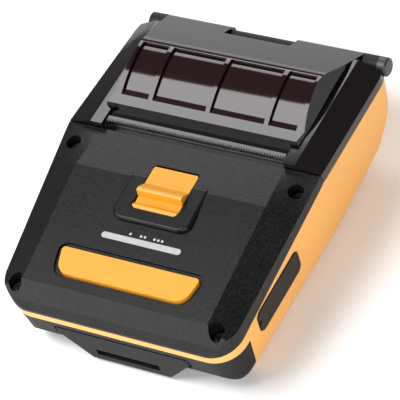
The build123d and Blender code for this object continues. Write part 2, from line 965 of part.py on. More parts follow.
# Rubber flap over the sockets: it bends at its rear end and has a pry notch in front
flap_outer = tub(-flap_proud, foot_height - flap_proud)
flap_inner = tub(flap_seat_depth - running, foot_height + flap_seat_depth - running)
pry_notch_radius = 1.6
with BuildPart() as socket_flap:
    add((port_plate(cover_length, cover_height, flap_corner) & flap_outer) - flap_inner)
    with BuildSketch(Plane.YZ.offset(joint_width / 4)):
        with Locations((port_centre_y - cover_length / 2, port_centre_z)):
            Circle(pry_notch_radius)
    extrude(amount=joint_width / 2, mode=Mode.SUBTRACT)
save(socket_flap, "socket_flap")

# Paper cover: flat lip and flanges, ribbed dome, rear panel that wraps the hinge barrel
cover_front_y = joint_y + running / 2
cover_gap = running
dome_flank_z = parting_joint_z


def cover_outline(y, inset, sink):
    """The cover's cross-section without its dome: rim, side flange and flat top."""
    side = half_width(y, inset)
    rim_low = parting(y, cover_gap) - sink
    rim_high = wall_top(y) - inset / 2
    top = flange_z(y) - inset
    return [
        (-side, rim_low),
        (side, rim_low),
        (side, rim_high),
        (flange_half - inset * facet_inset, top),
        (-flange_half + inset * facet_inset, top),
        (-side, rim_high),
    ]


brow_rear_z = flange_z(dome_base_y) + brow_rear_rise
brow_front_z = flange_z(trough_rear_y) + brow_front_rise


def crown(inset, start, end):
    """The dome and rear panel between two X, drawn in by inset from the ribs' outer edge."""
    tangent_y = hinge_y + barrel_radius * sin(atan(panel_slope))
    tangent_z = hinge_z + barrel_radius * cos(atan(panel_slope))
    middle_y = (dome_base_y + crest_y) / 2
    middle_z = (brow_rear_z + crest_z) / 2 + dome_bulge
    with BuildPart() as body:
        with BuildSketch(Plane.YZ.offset(start)) as profile:
            with BuildLine():
                dome = ThreePointArc((dome_base_y, brow_rear_z), (middle_y, middle_z), (crest_y, crest_z))
                Polyline(
                    dome @ 1,
                    (tangent_y, tangent_z),
                    (hinge_y, hinge_z),
                    (hinge_y - barrel_radius, 0),
                    (dome_base_y, 0),
                    dome @ 0,
                )
            make_face()
            fillet(profile.vertices().sort_by(Axis.Y)[-1], crest_round)
            if inset:
                offset(amount=-inset, kind=Kind.INTERSECTION)
        extrude(amount=end - start)
    return body.part


above_parting = across(
    [
        (joint_y - running, parting(joint_y - running, cover_gap)),
        (joint_y, parting(joint_y, cover_gap)),
        (rear_end, parting(rear_end, cover_gap)),
        (rear_end, body_length),
        (joint_y - running, body_length),
    ],
    joint_width,
)
under_panel = across(
    [
        (0, 0),
        (0, panel_z(0)),
        (rear_end, panel_z(rear_end)),
        (rear_end, 0),
    ],
    joint_width,
)


def dome_prism(inset):
    """What lies between the dome's slanted ends, drawn in by inset."""
    return along(
        [
            (-barrel_half + inset, -barrel_half),
            (barrel_half - inset, -barrel_half),
            (barrel_half - inset, dome_flank_z),
            (dome_base_half - inset, flange_z(dome_base_y)),
            (dome_top_half - inset, crest_z),
            (-dome_top_half + inset, crest_z),
            (-dome_base_half + inset, flange_z(dome_base_y)),
            (-barrel_half + inset, dome_flank_z),
        ],
        0,
        rear_end,
    )


flange_body = stations(
    [
        (cover_front_y, cover_outline(cover_front_y, 0, 0)),
        (cover_flank_rear_y, cover_outline(cover_flank_rear_y, 0, 0)),
    ]
)
flange_outer = flange_body & column(plan(0), 0, body_length)
flange_core = stations(
    [
        (cover_front_y + cover_wall, cover_outline(cover_front_y + cover_wall, cover_wall, cover_wall)),
        (
            cover_flank_rear_y - cover_wall,
            cover_outline(cover_flank_rear_y - cover_wall, cover_wall, cover_wall),
        ),
    ]
)
flange_hollow = flange_core & column(plan(cover_wall), 0, body_length)
panel_wall = cover_wall / cos(atan(panel_slope))
under_panel_hollow = across(
    [
        (0, -joint_width),
        (0, panel_z(0) - panel_wall),
        (rear_end, panel_z(rear_end) - panel_wall),
        (rear_end, -joint_width),
    ],
    joint_width,
)
crown_hollow = crown(bay_depth + cover_wall, -bay_half, bay_half)
rear_hollow_rear_y = hinge_y - barrel_radius - running
rear_hollow = across(
    [
        (crest_y, 0),
        (crest_y, body_length),
        (rear_hollow_rear_y, body_length),
        (rear_hollow_rear_y, 0),
    ],
    barrel_half - cover_wall,
)
trough_floor_z = lip_front_z - trough_depth
lip_beam_z = trough_floor_z - cover_wall
tear_edge_y = joint_y + 2.2
tear_tooth = 1.0
tear_bar_thickness = 0.8
tear_bar_depth = 3.2
trough_front_y = tear_edge_y + tear_tooth + snug
platen_gear_reach = gear_module * (platen_teeth / 2 + 1)

# Planes across the body for frame, hooks and gears, stacked outwards from the platen's ends
arm_inner = platen_half + 2 * running
arm_outer = arm_inner + arm_thickness
side_inner = arm_outer + running
side_outer = side_inner + frame_plate
hook_thickness = 1.2
hook_start = side_outer + 3 * snug
gear_start = hook_start + hook_thickness + running
gear_end = gear_start + gear_width
bush_end = gear_start - 3 * snug
gear_notch_inner_x = gear_start - 5 * running
gear_notch_outer_x = gear_end + 2 * running
with BuildPart() as cover_shell:
    add((flange_outer & under_panel) + (crown(0, -barrel_half, barrel_half) & dome_prism(0) & above_parting))
    add(flange_hollow & under_panel_hollow, mode=Mode.SUBTRACT)
    add(crown_hollow & under_panel_hollow & dome_prism(cover_wall), mode=Mode.SUBTRACT)
    add(rear_hollow & under_panel_hollow & dome_prism(cover_wall), mode=Mode.SUBTRACT)
    brow = across(
        [
            (trough_rear_y, flange_z(trough_rear_y) - cover_wall),
            (trough_rear_y, brow_front_z),
            (dome_base_y + bay_depth, brow_rear_z),
            (dome_base_y + bay_depth, flange_z(dome_base_y) - cover_wall),
        ],
        dome_base_half,
    )
    add(brow & dome_prism(0))
    add(
        block(
            (-flange_half, cover_front_y, lip_beam_z),
            (flange_half, trough_rear_y + cover_wall, trough_floor_z),
        )
        & flange_outer
    )
    add(
        column(pocket_sketch(trough_half, trough_rear_y, 0, tear_tooth * 3), trough_floor_z, body_length),
        mode=Mode.SUBTRACT,
    )
    add(
        block((-trough_half, 0, 0), (trough_half, trough_front_y, body_length)),
        mode=Mode.SUBTRACT,
    )
    bay_inner = crown(bay_depth, -bay_half, bay_half)
    bay_low_y = dome_base_y
    bay_high_y = crest_y
    edges = [-bay_half]
    for number in range(rib_count):
        rib_x = (number - (rib_count - 1) / 2) * rib_pitch
        edges += [rib_x - rib_width / 2, rib_x + rib_width / 2]
    edges += [bay_half]
    for start, end in zip(edges[::2], edges[1::2]):
        bay = block((start, bay_low_y, brow_rear_z), (end, bay_high_y, body_length))
        add(bay - bay_inner, mode=Mode.SUBTRACT)
    for side in (-1, 1):
        low_x = min(side * gear_notch_inner_x, side * gear_notch_outer_x)
        add(
            block(
                (low_x, 0, 0),
                (
                    low_x + gear_notch_outer_x - gear_notch_inner_x,
                    trough_front_y,
                    platen_z + platen_gear_reach + 2 * running,
                ),
            ),
            mode=Mode.SUBTRACT,
        )
    add(rod(barrel_radius, -barrel_half, barrel_half, hinge_y, hinge_z))
    notch = block(
        (-notch_half, hinge_y - barrel_radius + snug, 0),
        (notch_half, body_length, body_length),
    )
    add(notch, mode=Mode.SUBTRACT)
    add(rod(hinge_pin_radius + snug / 2, -joint_width, joint_width, hinge_y, hinge_z), mode=Mode.SUBTRACT)
save(cover_shell, "cover_shell")

# Serrated tear bar on the cover's paper edge, in the trough
tear_bar_half = trough_half - 2 * running
tear_pitch = 1.0
tear_count = int(2 * tear_bar_half / tear_pitch)
with BuildPart() as tear_bar:
    with BuildSketch(Plane.XY.offset(trough_floor_z)):
        pitch = 2 * tear_bar_half / tear_count
        zigzag = [
            (tear_bar_half, tear_edge_y + tear_bar_depth),
            (-tear_bar_half, tear_edge_y + tear_bar_depth),
            (-tear_bar_half, tear_edge_y + tear_tooth),
        ]
        for number in range(tear_count):
            zigzag.append((-tear_bar_half + (number + 0.5) * pitch, tear_edge_y))
            zigzag.append((-tear_bar_half + (number + 1) * pitch, tear_edge_y + tear_tooth))
        with BuildLine():
            Polyline(*zigzag, close=True)
        make_face()
    extrude(amount=tear_bar_thickness)
save(tear_bar, "tear_bar")

# Sheet-metal frame under the cover's lip: a cross plate and two arms that hold the platen
arm_boss = 6.0
cross_front_y = trough_front_y + snug
cross_rear_y = platen_y + bush_radius
with BuildPart() as cover_frame:
    add(block((-arm_outer, cross_front_y, lip_beam_z - frame_plate), (arm_outer, cross_rear_y, lip_beam_z)))
    for side in (-1, 1):
        low_x = min(side * arm_inner, side * arm_outer)
        add(rod(arm_boss, low_x, low_x + arm_thickness, platen_y, platen_z))
        add(block((low_x, cross_front_y, platen_z), (low_x + arm_thickness, cross_rear_y, lip_beam_z)))
    add(rod(bush_radius, -arm_outer, arm_outer, platen_y, platen_z), mode=Mode.SUBTRACT)
save(cover_frame, "cover_frame")

# Platen roller: rubber on a steel shaft that turns in two bushes, with a gear at its right end
with BuildPart() as platen_bushes:
    for side in (-1, 1):
        low_x = min(side * arm_inner, side * bush_end)
        add(rod(bush_radius, low_x, low_x + bush_end - arm_inner, platen_y, platen_z))
    add(
        rod(platen_shaft_radius + snug / 2, -bush_end, bush_end, platen_y, platen_z),
        mode=Mode.SUBTRACT,
    )
save(platen_bushes, "platen_bushes")
with BuildPart() as platen_shaft:
    add(rod(platen_shaft_radius, -bush_end, gear_end, platen_y, platen_z))
save(platen_shaft, "platen_shaft")
with BuildPart() as platen_rubber:
    add(rod(platen_radius, -platen_half, platen_half, platen_y, platen_z))
    add(rod(platen_shaft_radius, -platen_half, platen_half, platen_y, platen_z), mode=Mode.SUBTRACT)
save(platen_rubber, "platen_rubber")

# Gear train: motor pinion, idler and platen gear, with straight-flanked teeth
gear_backlash = 0.12
gear_addendum = 0.9 * gear_module
gear_dedendum = 1.25 * gear_module
flank_angle = radians(20)


def gear_outline(teeth, phase, first, second):
    """Corners of a spur gear round a centre; phase is the angle of one tooth."""
    pitch_radius = gear_module * teeth / 2
    tip_radius = pitch_radius + gear_addendum
    root_radius = pitch_radius - gear_dedendum
    pitch_half = pi / (2 * teeth) - gear_backlash / (2 * pitch_radius)
    tip_half = pitch_half - gear_addendum * tan(flank_angle) / tip_radius
    root_half = pitch_half + gear_dedendum * tan(flank_angle) / root_radius
    corners = []
    for number in range(teeth):
        middle = radians(phase) + 2 * pi * number / teeth
        for radius, angle in (
            (root_radius, middle - root_half),
            (tip_radius, middle - tip_half),
            (tip_radius, middle + tip_half),
            (root_radius, middle + root_half),
        ):
            corners.append((first + radius * cos(angle), second + radius * sin(angle)))
    return corners


def gear(teeth, phase, y, z, bore):
    """A spur gear between the two gear planes, with its bore."""
    with BuildPart() as body:
        with BuildSketch(Plane.YZ.offset(gear_start)):
            with BuildLine():
                Polyline(*gear_outline(teeth, phase, y, z), close=True)
            make_face()
            with Locations((y, z)):
                Circle(bore, mode=Mode.SUBTRACT)
        extrude(amount=gear_width)
    return body.part


idler_y = platen_y
idler_z = platen_z - gear_module * (platen_teeth + idler_teeth) / 2
pinion_angle = 188.0
pinion_reach = gear_module * (idler_teeth + pinion_teeth) / 2
pinion_y = idler_y + pinion_reach * cos(radians(pinion_angle))
pinion_z = idler_z + pinion_reach * sin(radians(pinion_angle))
idler_phase = 90.0
idler_step = 360.0 / idler_teeth
tooth_lead = (pinion_angle - idler_phase) % idler_step
pinion_phase = pinion_angle - 180 + tooth_lead * idler_teeth / pinion_teeth + 180.0 / pinion_teeth
platen_phase = 270.0 + 180.0 / platen_teeth
idler_axle_radius = 1.5
axle_head_radius = 2.4
motor_shaft_radius = 1.0
with BuildPart() as platen_gear:
    add(gear(platen_teeth, platen_phase, platen_y, platen_z, platen_shaft_radius))
save(platen_gear, "platen_gear")
with BuildPart() as idler_gear:
    add(gear(idler_teeth, idler_phase, idler_y, idler_z, idler_axle_radius + snug / 2))
save(idler_gear, "idler_gear")
with BuildPart() as motor_pinion:
    add(gear(pinion_teeth, pinion_phase, pinion_y, pinion_z, motor_shaft_radius))
    add(rod(motor_shaft_radius, side_inner, gear_end, pinion_y, pinion_z))
save(motor_pinion, "motor_pinion")

# Print frame: two side plates and a front plate that carry head, hooks, idler and motor
frame_front_y = joint_y - 15.0
frame_rear_y = platen_y + 5.0
frame_top_z = platen_z + 3.5
frame_low_z = foot_height + floor_wall
throat_half = bush_radius + 3 * snug
hook_pivot_y = joint_y - 10.0
hook_pivot_z = platen_z - 3.0
hook_rod_radius = 1.5
head_pivot_y = joint_y - 1.2
head_pivot_z = platen_z - 6.5
trunnion_radius = 1.4
front_plate_low_z = platen_z - 7.0
tab_half = 6.0
tab_gap = 1.0
with BuildPart() as print_frame:
    for side in (-1, 1):
        low_x = min(side * side_inner, side * side_outer)
        add(block((low_x, frame_front_y, frame_low_z), (low_x + frame_plate, frame_rear_y, frame_top_z)))
    add(
        block(
            (-side_outer, frame_front_y, front_plate_low_z),
            (side_outer, frame_front_y + frame_plate, frame_top_z),
        )
    )
    add(
        block(
            (-tab_half - tab_gap, frame_front_y, hook_pivot_z - hook_rod_radius),
            (tab_half + tab_gap, frame_front_y + frame_plate, frame_top_z),
        ),
        mode=Mode.SUBTRACT,
    )
    add(rod(throat_half, -side_outer, side_outer, platen_y, platen_z), mode=Mode.SUBTRACT)
    add(
        block(
            (-side_outer, platen_y - throat_half, platen_z),
            (side_outer, body_length, body_length),
        ),
        mode=Mode.SUBTRACT,
    )
    hook_hole = rod(hook_rod_radius + snug / 2, -side_outer, side_outer, hook_pivot_y, hook_pivot_z)
    add(hook_hole, mode=Mode.SUBTRACT)
    head_hole = rod(trunnion_radius + snug / 2, -side_outer, side_outer, head_pivot_y, head_pivot_z)
    add(head_hole, mode=Mode.SUBTRACT)
    add(rod(idler_axle_radius, 0, side_outer, idler_y, idler_z), mode=Mode.SUBTRACT)
    add(rod(motor_shaft_radius + 2 * running, 0, side_outer, pinion_y, pinion_z), mode=Mode.SUBTRACT)
save(print_frame, "print_frame")
axle_end = gear_end + snug
with BuildPart() as idler_axle:
    add(rod(idler_axle_radius, side_inner, axle_end, idler_y, idler_z))
    add(rod(axle_head_radius, axle_end, axle_end + frame_plate / 2, idler_y, idler_z))
save(idler_axle, "idler_axle")
with BuildPart() as feed_motor:
    add(rod(motor_radius, side_inner - motor_length, side_inner, pinion_y, pinion_z))
save(feed_motor, "feed_motor")

# Print head: ceramic plate on an aluminium bar that tips on two trunnions, pressed by springs
head_half = platen_half + 0.5
head_rear_y = platen_y - 7.2
head_thickness = 3.0
head_high_z = platen_z + 7.0
head_low_z = head_pivot_z - trunnion_radius
ceramic_thickness = 0.9
ceramic_half_height = 5.5
with BuildPart() as printhead_bar:
    add(block((-head_half, head_rear_y - head_thickness, head_low_z), (head_half, head_rear_y, head_high_z)))
    add(rod(trunnion_radius, -side_outer, side_outer, head_pivot_y, head_pivot_z))
save(printhead_bar, "printhead_bar")
with BuildPart() as printhead_ceramic:
    add(
        block(
            (-head_half, head_rear_y, platen_z - ceramic_half_height),
            (head_half, head_rear_y + ceramic_thickness, platen_z + ceramic_half_height),
        )
    )
save(printhead_ceramic, "printhead_ceramic")
head_spring_x = 20.0
head_spring_z = platen_z + 1.2
head_spring_radius = 2.2
head_spring_wall = 0.8
head_spring_gap = 0.5
spring_start_y = frame_front_y + frame_plate
with BuildPart() as printhead_springs:
    for x in (-head_spring_x, head_spring_x):
        with BuildSketch(Plane.XZ.offset(-spring_start_y)):
            with Locations((x, head_spring_z)):
                Circle(head_spring_radius)
                Circle(head_spring_radius - head_spring_wall, mode=Mode.SUBTRACT)
        extrude(amount=-(head_rear_y - head_thickness - head_spring_gap - spring_start_y))
save(printhead_springs, "printhead_springs")

# Cover hooks: a cross rod with a hook at each end and a tab that the latch lever pushes
finger_low_z = latch_pivot_z - 4.7
tab_top_z = finger_low_z + 0.8
hook_outline = [
    (hook_pivot_y - 3.0, hook_pivot_z - 3.0),
    (hook_pivot_y + 2.0, hook_pivot_z - 3.5),
    (platen_y - 7.5, platen_z + 1.0),
    (platen_y - 5.0, platen_z + 1.1),
    (platen_y - 5.0, platen_z + 4.9),
    (platen_y - 8.0, platen_z + 4.9),
    (hook_pivot_y - 2.0, hook_pivot_z + 3.5),
]
tab_outline = [
    (hook_pivot_y - 1.2, hook_pivot_z),
    (hook_pivot_y + 1.2, hook_pivot_z),
    (hook_pivot_y - 2.7, tab_top_z),
    (hook_pivot_y - 4.0, tab_top_z),
]
with BuildPart() as cover_hooks:
    hook_end = hook_start + hook_thickness
    add(rod(hook_rod_radius, -hook_end, hook_end, hook_pivot_y, hook_pivot_z))
    add(between(hook_outline, hook_start, hook_end))
    add(between(hook_outline, -hook_end, -hook_start))
    add(across(tab_outline, tab_half))
save(cover_hooks, "cover_hooks")

# Latch lever: ramp, crest and finger lip in one piece, turning on a shaft under the platform
latch_steps = [
    (-1.5, -2.9),
    (7.5, -2.7),
    (11.0, -0.1),
    (12.2, 0.4),
    (13.2, 0.0),
    (13.7, -3.4),
    (16.6, -3.6),
    (18.4, -2.4),
    (19.9, -2.9),
    (20.1, -4.4),
    (19.1, -5.2),
    (13.0, -5.9),
    (4.5, -5.2),
    (2.2, -5.2),
    (0.0, -7.6),
    (-1.8, -5.6),
]
latch_crest_rise = 3.0
latch_crest_z = platform_z(latch_pivot_y) + latch_crest_rise
latch_profile = [(latch_pivot_y - forward, latch_crest_z + up) for forward, up in latch_steps]
finger_outline = [
    (latch_pivot_y - 0.2, latch_pivot_z - 0.3),
    (latch_pivot_y + 3.2, finger_low_z),
    (latch_pivot_y + 4.4, finger_low_z),
    (latch_pivot_y + 1.8, latch_pivot_z - 0.1),
]
finger_half = 5.0
latch_plan = pocket_sketch(
    latch_half,
    latch_rear_y,
    latch_rear_y - latch_length,
    latch_corner - latch_gap,
)
spring_start = 7.0
spring_end = 9.8
spring_radius = 1.7
with BuildPart() as latch_lever:
    add(across(latch_profile, latch_half))
    add(column(latch_plan, finger_low_z, latch_crest_z + shell_wall), mode=Mode.INTERSECT)
    add(rod(latch_boss, -latch_half, latch_half, latch_pivot_y, latch_pivot_z))
    add(across(finger_outline, finger_half))
    add(
        rod(latch_shaft_radius + snug / 2, -latch_half, latch_half, latch_pivot_y, latch_pivot_z),
        mode=Mode.SUBTRACT,
    )
    add(
        rod(spring_radius + running, spring_start, spring_end, latch_pivot_y, latch_pivot_z),
        mode=Mode.SUBTRACT,
    )
save(latch_lever, "latch_lever")
with BuildPart() as latch_shaft:
    add(rod(latch_shaft_radius, -latch_lug_outer, latch_lug_outer, latch_pivot_y, latch_pivot_z))
save(latch_shaft, "latch_shaft")
with BuildPart() as latch_spring:
    add(rod(spring_radius, spring_start + snug, spring_end - snug, latch_pivot_y, latch_pivot_z))
    add(
        rod(latch_shaft_radius + snug, spring_start, spring_end, latch_pivot_y, latch_pivot_z),
        mode=Mode.SUBTRACT,
    )
save(latch_spring, "latch_spring")

# Battery pack: moulded case flush with the nose, finger slot in its end, lid, two flat cells
cell_rear_y = battery_rear_y - bay_wall
lower_cell_half = battery_foot_half - 1.4
upper_cell_half = battery_top_half - 8.4
lower_cell_low = (-lower_cell_half, battery_front_y + 14.4, 2.8)
lower_cell_high = (lower_cell_half, cell_rear_y, 8.6)
upper_cell_low = (-upper_cell_half, battery_front_y + 10.4, 8.8)
upper_cell_high = (upper_cell_half, cell_rear_y, 16.4)
pack_lid_z = battery_top_z - bay_wall
grip_half = 14.8
grip_z = 6.9
grip_height = 3.6
grip_depth = 8.3
dimple_radius = 1.6
end_round = 1.5
pack_body = along(battery_outline(0), battery_front_y, battery_rear_y)
lid_setback = 1.0
lid_zone = block(
    (-battery_top_half + lid_setback, battery_front_y + lid_setback, pack_lid_z),
    (battery_top_half - lid_setback, battery_rear_y - lid_setback, battery_top_z),
)
with BuildPart() as battery_case:
    add(pack_body)
    front_edges = battery_case.faces().sort_by(Axis.Y)[0].edges()
    fillet(front_edges.filter_by(lambda e: e.center().Z < battery_top_z - snug), end_round)
    add(lid_zone, mode=Mode.SUBTRACT)
    add(
        block(
            (lower_cell_low[0] - snug, lower_cell_low[1] - snug, lower_cell_low[2]),
            (lower_cell_high[0] + snug, lower_cell_high[1] + snug, pack_lid_z),
        ),
        mode=Mode.SUBTRACT,
    )
    add(
        block(
            (upper_cell_low[0] - snug, upper_cell_low[1] - snug, upper_cell_low[2] - snug),
            (upper_cell_high[0] + snug, upper_cell_high[1] + snug, pack_lid_z),
        ),
        mode=Mode.SUBTRACT,
    )
    add(
        block(
            (-grip_half, -body_length, grip_z - grip_height / 2),
            (grip_half, battery_front_y + grip_depth, grip_z + grip_height / 2),
        ),
        mode=Mode.SUBTRACT,
    )
save(battery_case, "battery_case")
with BuildPart() as battery_lid:
    add(
        block(
            (-battery_top_half + lid_setback + snug, battery_front_y + lid_setback + snug, pack_lid_z),
            (battery_top_half - lid_setback - snug, battery_rear_y - lid_setback - snug, battery_top_z),
        )
    )
    for x in (-detent_x, detent_x):
        with Locations((x, detent_y, battery_top_z + dimple_radius / 2)):
            Sphere(dimple_radius, mode=Mode.SUBTRACT)
save(battery_lid, "battery_lid")
with BuildPart() as battery_cells:
    add(block(lower_cell_low, lower_cell_high))
    add(block(upper_cell_low, upper_cell_high))
save(battery_cells, "battery_cells")
with BuildPart() as battery_detents:
    for x in (-detent_x, detent_x):
        add(upright(detent_radius, x, detent_y, battery_top_z + 3 * snug, board_z - snug))
save(battery_detents, "battery_detents")
contact_block_half = 10.0
contact_block_depth = 2.0
with BuildPart() as battery_contacts:
    wall_y = battery_rear_y + running + bay_wall
    add(
        block(
            (-contact_block_half, wall_y, contact_z - contact_pitch / 2),
            (contact_block_half, wall_y + contact_block_depth, contact_z + contact_pitch / 2),
        )
    )
    for number in range(4):
        x = (number - 1.5) * contact_pitch
        with BuildSketch(Plane.XZ.offset(-wall_y)):
            with Locations((x, contact_z)):
                Circle(contact_radius)
        extrude(amount=bay_wall + snug)
save(battery_contacts, "battery_contacts")

# Media bucket: an open tray on four posts, with the pin of the guide pinion in its floor
bucket_wall = 1.2
bucket_half = trough_half + running
bucket_rear_y = hinge_y - 8.5
bucket_slope_z = 22.5
guide_y = joint_y + 32.0
guide_z = bucket_floor_z + 21.3
guide_radius = guide_y - bucket_front_y - 2.4
guide_rest_x = bucket_half - 2.8
guide_thickness = 1.6
guide_hub_radius = 6.0
guide_hub_length = 3.0
guide_travel = 12.0
guide_margin = 1.0
rack_y = bucket_slope_y - 6.5
rack_low_z = bucket_floor_z + bucket_wall + 3 * snug
rack_height = 2.0
rack_depth = 1.2
rack_tail = 8.0
guide_pin_radius = 1.5
guide_teeth = 12
guide_pitch_radius = gear_module * guide_teeth / 2
rack_reach = guide_pitch_radius + gear_dedendum + rack_depth


def bucket_prism(inset, half):
    """The bucket's side outline, drawn in by inset and extruded to both sides."""
    return across(
        [
            (bucket_front_y + inset, bucket_floor_z + inset),
            (bucket_slope_y - inset / 2, bucket_floor_z + inset),
            (bucket_rear_y - inset, bucket_slope_z + inset / 2),
            (bucket_rear_y - inset, body_length),
            (bucket_front_y + inset, body_length),
        ],
        half,
    )


under_bucket_rim = below_parting(-snug - running)
with BuildPart() as media_bucket:
    add(bucket_prism(0, bucket_half))
    add(bucket_prism(bucket_wall, bucket_half - bucket_wall), mode=Mode.SUBTRACT)
    add(under_bucket_rim, mode=Mode.INTERSECT)
    add(upright(guide_pin_radius, 0, rack_y, bucket_floor_z, rack_low_z + rack_height + 3 * snug))
save(media_bucket, "media_bucket")


def rack(side):
    """One guide's toothed bar: it reaches from the guide past the pinion on its own side of it."""
    tip = guide_pitch_radius - gear_addendum
    root = guide_pitch_radius + gear_dedendum
    tooth_pitch = pi * gear_module
    tip_half = tooth_pitch / 4 - gear_backlash / 2 - gear_addendum * tan(flank_angle)
    root_half = tooth_pitch / 4 - gear_backlash / 2 + gear_dedendum * tan(flank_angle)
    count = int((guide_travel + 2 * rack_tail) / tooth_pitch)
    corners = [(guide_rest_x - guide_thickness, rack_reach), (-rack_tail, rack_reach)]
    corners.append((-rack_tail, root))
    for number in range(count):
        middle = (number + 0.5) * tooth_pitch - int(rack_tail / tooth_pitch) * tooth_pitch
        corners += [
            (middle - root_half, root),
            (middle - tip_half, tip),
            (middle + tip_half, tip),
            (middle + root_half, root),
        ]
    corners.append((guide_rest_x - guide_thickness, root))
    with BuildPart() as body:
        with BuildSketch(Plane.XY.offset(rack_low_z)):
            with BuildLine():
                Polyline(*[(side * x, rack_y + side * y) for x, y in corners], close=True)
            make_face()
        extrude(amount=rack_height)
    return body.part


def media_guide(side):
    """A roll guide: round plate, core hub, foot and rack."""
    plate_x = min(side * (guide_rest_x - guide_thickness), side * guide_rest_x)
    hub_x = min(side * (guide_rest_x - guide_thickness - guide_hub_length), side * guide_rest_x)
    disc = rod(guide_radius, plate_x, plate_x + guide_thickness, guide_y, guide_z)
    plate = disc & bucket_prism(bucket_wall + guide_margin, bucket_half)
    hub = rod(guide_hub_radius, hub_x, hub_x + guide_thickness + guide_hub_length, guide_y, guide_z)
    foot = block(
        (plate_x, rack_y - rack_reach, rack_low_z),
        (plate_x + guide_thickness, rack_y + rack_reach, guide_z),
    )
    return plate + hub + foot + rack(side)


with BuildPart() as media_guide_left:
    add(media_guide(-1))
save(media_guide_left, "media_guide_left")
with BuildPart() as media_guide_right:
    add(media_guide(1))
save(media_guide_right, "media_guide_right")
with BuildPart() as guide_pinion:
    with BuildSketch(Plane.XY.offset(rack_low_z)):
        with BuildLine():
            Polyline(*gear_outline(guide_teeth, 90.0, 0.0, rack_y), close=True)
        make_face()
        with Locations((0, rack_y)):
            Circle(guide_pin_radius + snug / 2, mode=Mode.SUBTRACT)
    extrude(amount=rack_height)
save(guide_pinion, "guide_pinion")
sensor_half = 5.0
sensor_depth = 4.0
sensor_height = 3.0
with BuildPart() as media_sensor:
    sensor_front_y = bucket_front_y + bucket_wall
    sensor_low_z = bucket_floor_z + bucket_wall
    add(
        block(
            (-sensor_half, sensor_front_y, sensor_low_z),
            (sensor_half, sensor_front_y + sensor_depth, sensor_low_z + sensor_height),
        )
    )
save(media_sensor, "media_sensor")

# Feet, hinge pin and the hinge cap at the right end
with BuildPart() as rubber_feet:
    for x in (-foot_x, foot_x):
        for y in (foot_front_y, foot_rear_y):
            add(upright(foot_radius, x, y, 0, 2 * foot_height))
save(rubber_feet, "rubber_feet")
with BuildPart() as hinge_pin:
    add(rod(hinge_pin_radius, -ear_outer, ear_outer, hinge_y, hinge_z))
save(hinge_pin, "hinge_pin")
with BuildPart() as hinge_cap:
    add(rod(cap_radius, ear_outer + snug / 2, ear_outer + cap_length, hinge_y, hinge_z))
    fillet(hinge_cap.faces().filter_by(Axis.X).sort_by(Axis.X)[-1].edges(), shell_wall / 2)
save(hinge_cap, "hinge_cap")
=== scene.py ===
"""Portable label printer, dressed for its studio picture, piece by piece as it is put together.
Lengths are in metres, with X to the printer's right, Y from its nose to its hinge, and Z up."""
import math

import bpy
import numpy as np
from mathutils import Matrix, Vector


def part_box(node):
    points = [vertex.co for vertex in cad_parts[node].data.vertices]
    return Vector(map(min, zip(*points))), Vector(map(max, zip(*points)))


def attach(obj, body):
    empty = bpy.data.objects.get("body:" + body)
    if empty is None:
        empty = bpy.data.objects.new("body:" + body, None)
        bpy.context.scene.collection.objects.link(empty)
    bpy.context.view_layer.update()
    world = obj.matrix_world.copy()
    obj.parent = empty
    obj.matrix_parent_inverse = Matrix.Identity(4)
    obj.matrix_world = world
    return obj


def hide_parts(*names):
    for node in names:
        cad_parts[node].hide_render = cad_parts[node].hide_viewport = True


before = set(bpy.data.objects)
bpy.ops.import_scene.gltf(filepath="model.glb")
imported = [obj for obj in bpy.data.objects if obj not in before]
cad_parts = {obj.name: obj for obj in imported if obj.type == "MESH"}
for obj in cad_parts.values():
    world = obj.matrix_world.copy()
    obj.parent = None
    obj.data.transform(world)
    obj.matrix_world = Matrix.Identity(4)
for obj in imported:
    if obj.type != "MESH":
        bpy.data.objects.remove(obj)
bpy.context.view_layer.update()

# Lower case: the tub that carries everything, moulded in black ABS with a fine
# spark-eroded grain. It shows at the nose, under the body and round the battery.


class Wire:
    """A shader socket's output. Sums, differences and products of wires and numbers add Math nodes."""

    def __init__(self, paint, socket):
        self.paint = paint
        self.socket = socket

    def maths(self, operation, first, second):
        return self.paint.node("Math", {"operation": operation}, {0: first, 1: second})

    def __add__(self, other):
        return self.maths("ADD", self, other)

    def __radd__(self, other):
        return self.maths("ADD", other, self)

    def __sub__(self, other):
        return self.maths("SUBTRACT", self, other)

    def __rsub__(self, other):
        return self.maths("SUBTRACT", other, self)

    def __mul__(self, other):
        return self.maths("MULTIPLY", self, other)

    def __rmul__(self, other):
        return self.maths("MULTIPLY", other, self)


